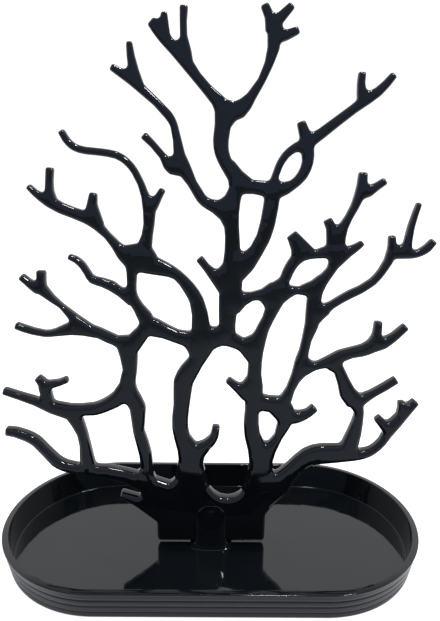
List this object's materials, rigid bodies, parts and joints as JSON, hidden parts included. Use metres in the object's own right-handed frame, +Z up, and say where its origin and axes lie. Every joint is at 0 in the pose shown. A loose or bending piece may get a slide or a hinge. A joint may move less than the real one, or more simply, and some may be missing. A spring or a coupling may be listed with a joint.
{
  "type": "jewellery stand with tray",
  "caption": "Gloss black jewellery stand: a flat branching coral tree for necklaces and bracelets plugs by its tab into a slotted post in an open tray with round ends.",
  "frame": {"origin": "centre of the tray's underside, on the table", "axes": "+Z up along the tree, +X along the tray to the right in the picture, +Y to the back"},
  "size_m": [0.24, 0.121, 0.2921],
  "materials": {
    "tray": "gloss",
    "coral_tree": "gloss"
  },
  "bodies": {
    "tray": {"tray": "tray"},
    "tree": {"coral_tree": "coral_tree"}
  },
  "joints": [
    {"name": "tree_lift", "type": "slide", "parent": "tray", "child": "tree", "axis": [0, 0, 1], "range_m": [0, 0.03]}
  ]
}
